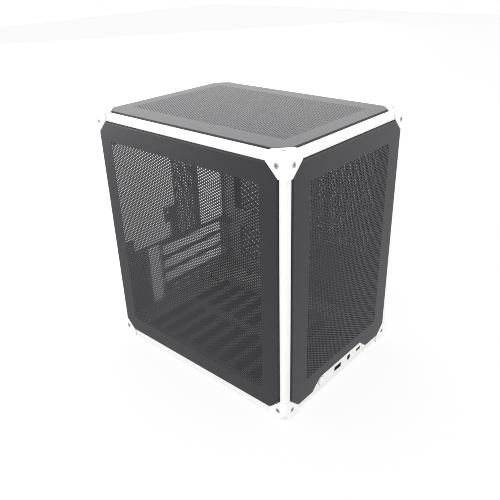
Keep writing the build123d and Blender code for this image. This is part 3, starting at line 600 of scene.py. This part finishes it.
bm = bmesh.new()
bmesh.ops.create_grid(bm, x_segments=1, y_segments=1, size=floor_half_side)
bmesh.ops.translate(bm, vec=(0, 0, -floor_drop), verts=bm.verts)
floor = new_object("studio_floor", bm)
floor_paint = bpy.data.materials.new("studio_floor_paint")
floor_paint.use_nodes = True
floor_shader = floor_paint.node_tree.nodes["Principled BSDF"]
floor_shader.inputs["Roughness"].default_value = 0.9
floor_shader.inputs["Specular IOR Level"].default_value = 0.1
floor.data.materials.append(floor_paint)


def looked_at(tree):
    """One where a ray comes from the camera, from gloss or through a gap, and nought elsewhere."""
    rays = tree.nodes.new("ShaderNodeLightPath")
    seen = tree.nodes.new("ShaderNodeMath")
    seen.operation = "MAXIMUM"
    through = tree.nodes.new("ShaderNodeMath")
    through.operation = "MAXIMUM"
    tree.links.new(rays.outputs["Is Camera Ray"], seen.inputs[0])
    tree.links.new(rays.outputs["Is Glossy Ray"], seen.inputs[1])
    tree.links.new(seen.outputs[0], through.inputs[0])
    tree.links.new(rays.outputs["Is Transmission Ray"], through.inputs[1])
    return through.outputs[0]


# The share of the way from the middle of the case to its side walls sets the painted shadow: near
# black in the middle, fading out to the pale floor and white surround close to the walls.
tree = floor_paint.node_tree
floor_place = tree.nodes.new("ShaderNodeTexCoord")
side_share = tree.nodes.new("ShaderNodeVectorMath")
side_share.operation = "DIVIDE"
side_share.inputs[1].default_value = (half_w, half_d, 1.0)
unsigned_share = tree.nodes.new("ShaderNodeVectorMath")
unsigned_share.operation = "ABSOLUTE"
share_axes = tree.nodes.new("ShaderNodeSeparateXYZ")
outer_share = tree.nodes.new("ShaderNodeMath")
outer_share.operation = "MAXIMUM"
fade = tree.nodes.new("ShaderNodeMapRange")
fade.inputs["From Min"].default_value = painted_shadow_until
fade.inputs["From Max"].default_value = pale_from
fade.inputs["To Min"].default_value = 0.0
fade.inputs["To Max"].default_value = paper_share
shade = tree.nodes.new("ShaderNodeMixRGB")
shade.inputs["Color1"].default_value = painted_shadow_floor_colour
shade.inputs["Color2"].default_value = pale_floor
paper_factor = tree.nodes.new("ShaderNodeMath")
paper_factor.operation = "MULTIPLY"
paper = tree.nodes.new("ShaderNodeEmission")
floor_mix = tree.nodes.new("ShaderNodeMixShader")
tree.links.new(floor_place.outputs["Object"], side_share.inputs[0])
tree.links.new(side_share.outputs[0], unsigned_share.inputs[0])
tree.links.new(unsigned_share.outputs[0], share_axes.inputs[0])
tree.links.new(share_axes.outputs["X"], outer_share.inputs[0])
tree.links.new(share_axes.outputs["Y"], outer_share.inputs[1])
tree.links.new(outer_share.outputs["Value"], fade.inputs["Value"])
tree.links.new(fade.outputs["Result"], paper_factor.inputs[0])
tree.links.new(fade.outputs["Result"], shade.inputs["Fac"])
tree.links.new(shade.outputs["Color"], floor_shader.inputs["Base Color"])
tree.links.new(looked_at(tree), paper_factor.inputs[1])
tree.links.new(paper_factor.outputs[0], floor_mix.inputs["Fac"])
tree.links.new(floor_shader.outputs["BSDF"], floor_mix.inputs[1])
tree.links.new(paper.outputs["Emission"], floor_mix.inputs[2])
tree.links.new(floor_mix.outputs[0], tree.nodes["Material Output"].inputs["Surface"])

ambient_strength = 0.68
world = bpy.data.worlds.new("studio_surround")
bpy.context.scene.world = world
world.use_nodes = True
tree = world.node_tree
tree.nodes.clear()
world_output = tree.nodes.new("ShaderNodeOutputWorld")
ambient = tree.nodes.new("ShaderNodeBackground")
ambient.inputs["Color"].default_value = (1.0, 1.0, 1.0, 1.0)
ambient.inputs["Strength"].default_value = ambient_strength
white = tree.nodes.new("ShaderNodeBackground")
white.inputs["Color"].default_value = (1.0, 1.0, 1.0, 1.0)
white.inputs["Strength"].default_value = 1.0
world_mix = tree.nodes.new("ShaderNodeMixShader")
tree.links.new(looked_at(tree), world_mix.inputs["Fac"])
tree.links.new(ambient.outputs[0], world_mix.inputs[1])
tree.links.new(white.outputs[0], world_mix.inputs[2])
tree.links.new(world_mix.outputs[0], world_output.inputs["Surface"])

# Each lamp has its place in metres, the side of its square and its power in watts.
target = Vector((0, 0, 0.15))
lamps = (
    ("top_softbox", (-0.2, 0.1, 1.6), 1.4, 12),
    ("left_softbox", (-1.1, 1.5, 0.15), 1.0, 18),
    ("front_softbox", (1.2, -1.4, 0.15), 1.0, 10),
    ("fill_softbox", (-1.2, -1.1, 1.1), 1.2, 8),
    ("rear_softbox", (1.3, 2.05, 1.5), 3.6, 45),
)
for name, place, size, power in lamps:
    data = bpy.data.lights.new(name, "AREA")
    data.size = size
    data.energy = power
    lamp = bpy.data.objects.new(name, data)
    lamp.location = place
    lamp.rotation_euler = (target - Vector(place)).to_track_quat("-Z", "Y").to_euler()
    bpy.context.scene.collection.objects.link(lamp)


# Camera: above the front left corner, just under 0.7 m away, with the small tilt that the
# picture was taken with. Its distance and shifts are in units of 0.97 mm. The narrow pixel
# filter keeps the fine perforation crisp.
azimuth, elevation, tilt = math.radians(-47.92), math.radians(27.24), math.radians(-1.75)
unit = 0.97 * mm
aim = Vector((0, 0, 150))
distance, shift_across, shift_up = 707.2, 0.24, -23.84
focal_pixels, picture_pixels = 576.4, 500
sensor_width = 36.0
pixel_filter = 0.9
upright = Vector((0, 0, 1))
back = Vector(
    (
        math.sin(azimuth) * math.cos(elevation),
        -math.cos(azimuth) * math.cos(elevation),
        math.sin(elevation),
    )
)
right = upright.cross(back).normalized()
above = back.cross(right)
tilted_right = math.cos(tilt) * right + math.sin(tilt) * above
tilted_above = -math.sin(tilt) * right + math.cos(tilt) * above
spot = aim + distance * back + shift_across * tilted_right + shift_up * tilted_above
camera_data = bpy.data.cameras.new("camera")
camera_data.sensor_width = sensor_width
camera_data.lens = sensor_width * focal_pixels / picture_pixels
camera = bpy.data.objects.new("camera", camera_data)
turn = Matrix((tilted_right, tilted_above, back)).transposed().to_4x4()
camera.matrix_world = Matrix.Translation(spot * unit) @ turn
bpy.context.scene.collection.objects.link(camera)
bpy.context.scene.camera = camera
bpy.context.scene.view_settings.view_transform = "Standard"
bpy.context.scene.cycles.filter_width = pixel_filter

bpy.context.view_layer.update()
